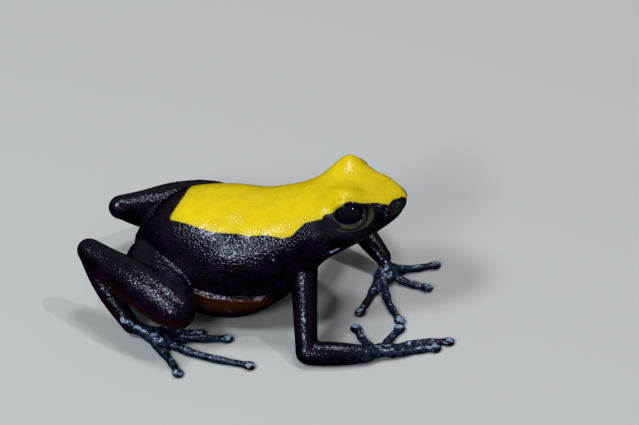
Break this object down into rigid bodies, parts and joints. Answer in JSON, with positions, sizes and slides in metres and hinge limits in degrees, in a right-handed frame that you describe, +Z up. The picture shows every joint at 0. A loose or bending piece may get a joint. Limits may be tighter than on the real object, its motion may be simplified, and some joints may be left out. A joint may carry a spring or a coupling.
{
  "type": "climbing mantella",
  "caption": "Still, life-size model of a climbing mantella frog, sitting with its chest raised and its hind legs folded, yellow above and glossy black below.",
  "frame": {"origin": "on the floor, under the middle of the whole frog's box", "axes": "+X towards the snout, along the body; +Y towards the frog's left; +Z up"},
  "size_m": [0.0342, 0.0268, 0.0149],
  "materials": {
    "back_skin": "moist bright yellow skin on the back and the top of the head, turning to glossy black on the flanks",
    "dark_skin": "moist, finely granular black skin",
    "digit_skin": "moist black skin with pale blue flecks",
    "eye": "wet, glossy black eye"
  },
  "bodies": {
    "root": {"eye_left": "eye", "eye_right": "eye", "finger_1_left": "digit_skin", "finger_1_right": "digit_skin", "finger_2_left": "digit_skin", "finger_2_right": "digit_skin", "finger_3_left": "digit_skin", "finger_3_right": "digit_skin", "finger_4_left": "digit_skin", "finger_4_right": "digit_skin", "foot_left": "dark_skin", "foot_right": "dark_skin", "forearm_left": "dark_skin", "forearm_right": "dark_skin", "hand_left": "dark_skin", "hand_right": "dark_skin", "head": "back_skin", "lower_jaw": "dark_skin", "shank_left": "dark_skin", "shank_right": "dark_skin", "tarsus_left": "dark_skin", "tarsus_right": "dark_skin", "thigh_left": "dark_skin", "thigh_right": "dark_skin", "toe_1_left": "digit_skin", "toe_1_right": "digit_skin", "toe_2_left": "digit_skin", "toe_2_right": "digit_skin", "toe_3_left": "digit_skin", "toe_3_right": "digit_skin", "toe_4_left": "digit_skin", "toe_4_right": "digit_skin", "toe_5_left": "digit_skin", "toe_5_right": "digit_skin", "torso": "back_skin", "upper_arm_left": "dark_skin", "upper_arm_right": "dark_skin"}
  },
  "joints": []
}
